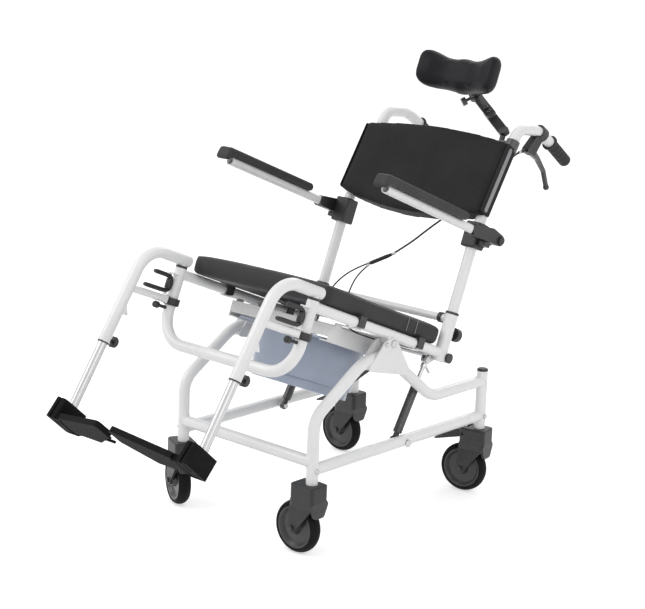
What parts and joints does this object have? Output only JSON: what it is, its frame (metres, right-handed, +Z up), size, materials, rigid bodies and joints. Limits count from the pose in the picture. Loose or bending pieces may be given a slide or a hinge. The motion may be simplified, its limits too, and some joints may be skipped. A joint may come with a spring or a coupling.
{
  "type": "tilt-in-space shower commode",
  "caption": "Tilting shower and commode chair on swivel casters, with a padded open seat, pan, padded back, headrest, flip-up arms and adjustable leg rests.",
  "frame": {"origin": "on the floor, midway between the four posts of the base across the chair", "axes": "+Z up, the chair faces -Y, +X is the sitter's left; the seat is leaned back 22 degrees at rest"},
  "size_m": [0.6025, 1.39, 1.1006],
  "materials": {
    "white_frame": "white gloss powder coat",
    "bright_tube": "satin anodised",
    "bolts": "zinc plated",
    "tyre": "matt",
    "wheel_hub": "fine satin",
    "caster_moulding": "satin",
    "pad_foam": "fine grained soft skin",
    "arm_moulding": "fine grained",
    "headrest_cover": "soft black cover",
    "black_steel": "black coat",
    "carrier_steel": "white coat",
    "pan": "slate blue gloss",
    "black_plastic": "satin black",
    "spring_steel": "ground and plated",
    "grip_rubber": "matt",
    "cable_jacket": "matt black jacket"
  },
  "bodies": {
    "base": {"side_frame_left": "white_frame", "side_frame_right": "white_frame", "front_crossbar": "white_frame", "base_plugs": "black_plastic", "base_bolts": "bolts"},
    "seat": {"seat_frame_left": "white_frame", "seat_frame_right": "white_frame", "seat_cross_tubes": "white_frame", "latch_blocks": "black_plastic", "seat_cushion": "pad_foam", "seat_clips": "black_plastic", "pan_carrier": "carrier_steel", "back_post_left": "white_frame", "back_post_right": "white_frame", "back_pad": "pad_foam", "back_fittings": "black_plastic", "handle_grips": "grip_rubber", "tilt_cables": "cable_jacket", "arm_brackets": "black_plastic", "headrest_mount": "black_steel"},
    "swivel_front_left": {"caster_fork_front_left": "caster_moulding"},
    "wheel_front_left": {"caster_hub_front_left": "wheel_hub", "caster_tyre_front_left": "tyre"},
    "swivel_front_right": {"caster_fork_front_right": "caster_moulding"},
    "wheel_front_right": {"caster_hub_front_right": "wheel_hub", "caster_tyre_front_right": "tyre"},
    "swivel_rear_left": {"caster_fork_rear_left": "caster_moulding"},
    "wheel_rear_left": {"caster_hub_rear_left": "wheel_hub", "caster_tyre_rear_left": "tyre"},
    "pedal_rear_left": {"caster_pedal_rear_left": "caster_moulding"},
    "swivel_rear_right": {"caster_fork_rear_right": "caster_moulding"},
    "wheel_rear_right": {"caster_hub_rear_right": "wheel_hub", "caster_tyre_rear_right": "tyre"},
    "pedal_rear_right": {"caster_pedal_rear_right": "caster_moulding"},
    "arm_left": {"arm_tube_left": "white_frame", "arm_pad_left": "arm_moulding"},
    "hanger_left": {"leg_hanger_left": "white_frame", "leg_knob_left": "black_plastic"},
    "leg_left": {"leg_tube_left": "bright_tube", "foot_clamp_left": "black_plastic"},
    "foot_left": {"footplate_left": "black_plastic"},
    "release_left": {"release_lever_left": "black_plastic"},
    "cylinder_left": {"spring_cylinder_left": "black_steel"},
    "rod_left": {"spring_rod_left": "spring_steel"},
    "arm_right": {"arm_tube_right": "white_frame", "arm_pad_right": "arm_moulding"},
    "hanger_right": {"leg_hanger_right": "white_frame", "leg_knob_right": "black_plastic"},
    "leg_right": {"leg_tube_right": "bright_tube", "foot_clamp_right": "black_plastic"},
    "foot_right": {"footplate_right": "black_plastic"},
    "release_right": {"release_lever_right": "black_plastic"},
    "cylinder_right": {"spring_cylinder_right": "black_steel"},
    "rod_right": {"spring_rod_right": "spring_steel"},
    "pan": {"commode_pan": "pan", "pan_handle": "black_plastic"},
    "tilt_lever": {"tilt_lever": "black_steel"},
    "headrest_slider": {"headrest_bar": "black_steel"},
    "headrest": {"headrest_plate": "black_steel", "headrest_pad": "headrest_cover"}
  },
  "joints": [
    {"name": "tilt", "type": "hinge", "parent": "base", "child": "seat", "pos_m": [0, -0.063, 0.464], "axis": [-1, 0, 0], "range_deg": [-22, 8]},
    {"name": "swivel_front_left", "type": "hinge", "parent": "base", "child": "swivel_front_left", "pos_m": [0.213, -0.314, 0.16], "axis": [0, 0, 1], "continuous": true},
    {"name": "roll_front_left", "type": "hinge", "parent": "swivel_front_left", "child": "wheel_front_left", "pos_m": [0.175, -0.314, 0.0625], "axis": [0, 1, 0], "continuous": true},
    {"name": "swivel_front_right", "type": "hinge", "parent": "base", "child": "swivel_front_right", "pos_m": [-0.213, -0.314, 0.16], "axis": [0, 0, 1], "continuous": true},
    {"name": "roll_front_right", "type": "hinge", "parent": "swivel_front_right", "child": "wheel_front_right", "pos_m": [-0.24744, -0.29794, 0.0625], "axis": [0.4226, 0.9063, 0], "continuous": true},
    {"name": "swivel_rear_left", "type": "hinge", "parent": "base", "child": "swivel_rear_left", "pos_m": [0.213, 0.316, 0.16], "axis": [0, 0, 1], "continuous": true},
    {"name": "roll_rear_left", "type": "hinge", "parent": "swivel_rear_left", "child": "wheel_rear_left", "pos_m": [0.17558, 0.3094, 0.0625], "axis": [-0.1736, 0.9848, 0], "continuous": true},
    {"name": "pedal_rear_left", "type": "hinge", "parent": "swivel_rear_left", "child": "pedal_rear_left", "pos_m": [0.17952, 0.3101, 0.157], "axis": [-0.1736, 0.9848, 0], "range_deg": [-14, 0]},
    {"name": "swivel_rear_right", "type": "hinge", "parent": "base", "child": "swivel_rear_right", "pos_m": [-0.213, 0.316, 0.16], "axis": [0, 0, 1], "continuous": true},
    {"name": "roll_rear_right", "type": "hinge", "parent": "swivel_rear_right", "child": "wheel_rear_right", "pos_m": [-0.251, 0.316, 0.0625], "axis": [0, 1, 0], "continuous": true},
    {"name": "pedal_rear_right", "type": "hinge", "parent": "swivel_rear_right", "child": "pedal_rear_right", "pos_m": [-0.247, 0.316, 0.157], "axis": [0, 1, 0], "range_deg": [-14, 0]},
    {"name": "arm_flip_left", "type": "hinge", "parent": "seat", "child": "arm_left", "pos_m": [0.248, 0.2948, 0.66888], "axis": [-1, 0, 0], "range_deg": [0, 88]},
    {"name": "hanger_swing_left", "type": "hinge", "parent": "seat", "child": "hanger_left", "pos_m": [0.213, -0.34115, 0.57638], "axis": [0, 0.3746, 0.9272], "range_deg": [0, 90]},
    {"name": "leg_length_left", "type": "slide", "parent": "hanger_left", "child": "leg_left", "axis": [0, -0.5465, -0.8375], "range_m": [-0.05, 0.05]},
    {"name": "foot_fold_left", "type": "hinge", "parent": "leg_left", "child": "foot_left", "pos_m": [0.186, -0.69063, 0.29921], "axis": [0, 0.7431, -0.6691], "range_deg": [0, 88]},
    {"name": "release_left", "type": "hinge", "parent": "seat", "child": "release_left", "pos_m": [0.213, -0.37068, 0.57537], "axis": [0, 0.3746, 0.9272], "range_deg": [0, 15], "stiffness_Nm_per_rad": 0.4},
    {"name": "spring_lean_left", "type": "hinge", "parent": "base", "child": "cylinder_left", "pos_m": [0.185, 0.01, 0.203], "axis": [1, 0, 0], "range_deg": [-2, 5]},
    {"name": "spring_travel_left", "type": "slide", "parent": "cylinder_left", "child": "rod_left", "axis": [0, 0.513, 0.8584], "range_m": [-0.028, 0.075]},
    {"name": "arm_flip_right", "type": "hinge", "parent": "seat", "child": "arm_right", "pos_m": [-0.248, 0.2948, 0.66888], "axis": [-1, 0, 0], "range_deg": [0, 88]},
    {"name": "hanger_swing_right", "type": "hinge", "parent": "seat", "child": "hanger_right", "pos_m": [-0.213, -0.34115, 0.57638], "axis": [0, 0.3746, 0.9272], "range_deg": [-90, 0]},
    {"name": "leg_length_right", "type": "slide", "parent": "hanger_right", "child": "leg_right", "axis": [0, -0.5465, -0.8375], "range_m": [-0.05, 0.05]},
    {"name": "foot_fold_right", "type": "hinge", "parent": "leg_right", "child": "foot_right", "pos_m": [-0.186, -0.69063, 0.29921], "axis": [0, 0.7431, -0.6691], "range_deg": [-88, 0]},
    {"name": "release_right", "type": "hinge", "parent": "seat", "child": "release_right", "pos_m": [-0.213, -0.37068, 0.57537], "axis": [0, 0.3746, 0.9272], "range_deg": [-15, 0], "stiffness_Nm_per_rad": 0.4},
    {"name": "spring_lean_right", "type": "hinge", "parent": "base", "child": "cylinder_right", "pos_m": [-0.185, 0.01, 0.203], "axis": [1, 0, 0], "range_deg": [-2, 5]},
    {"name": "spring_travel_right", "type": "slide", "parent": "cylinder_right", "child": "rod_right", "axis": [0, 0.513, 0.8584], "range_m": [-0.028, 0.075]},
    {"name": "pan_slide", "type": "slide", "parent": "seat", "child": "pan", "axis": [0, 0.9272, -0.3746], "range_m": [0, 0.25]},
    {"name": "tilt_lever", "type": "hinge", "parent": "seat", "child": "tilt_lever", "pos_m": [0.213, 0.46727, 0.86884], "axis": [1, 0, 0], "range_deg": [0, 22], "stiffness_Nm_per_rad": 0.6, "springref_deg": -11.46},
    {"name": "headrest_reach", "type": "slide", "parent": "seat", "child": "headrest_slider", "axis": [-0.8084, 0.5104, 0.2934], "range_m": [-0.02, 0.02]},
    {"name": "headrest_nod", "type": "hinge", "parent": "headrest_slider", "child": "headrest", "pos_m": [0, 0.50871, 0.98475], "axis": [1, 0, 0], "range_deg": [-25, 25]}
  ],
  "couplings": [
    {"joint": "spring_lean_left", "follows": "tilt", "ratio": -0.19},
    {"joint": "spring_travel_left", "follows": "tilt", "m_per_rad": -0.19366},
    {"joint": "spring_lean_right", "follows": "tilt", "ratio": -0.19},
    {"joint": "spring_travel_right", "follows": "tilt", "m_per_rad": -0.19366}
  ]
}
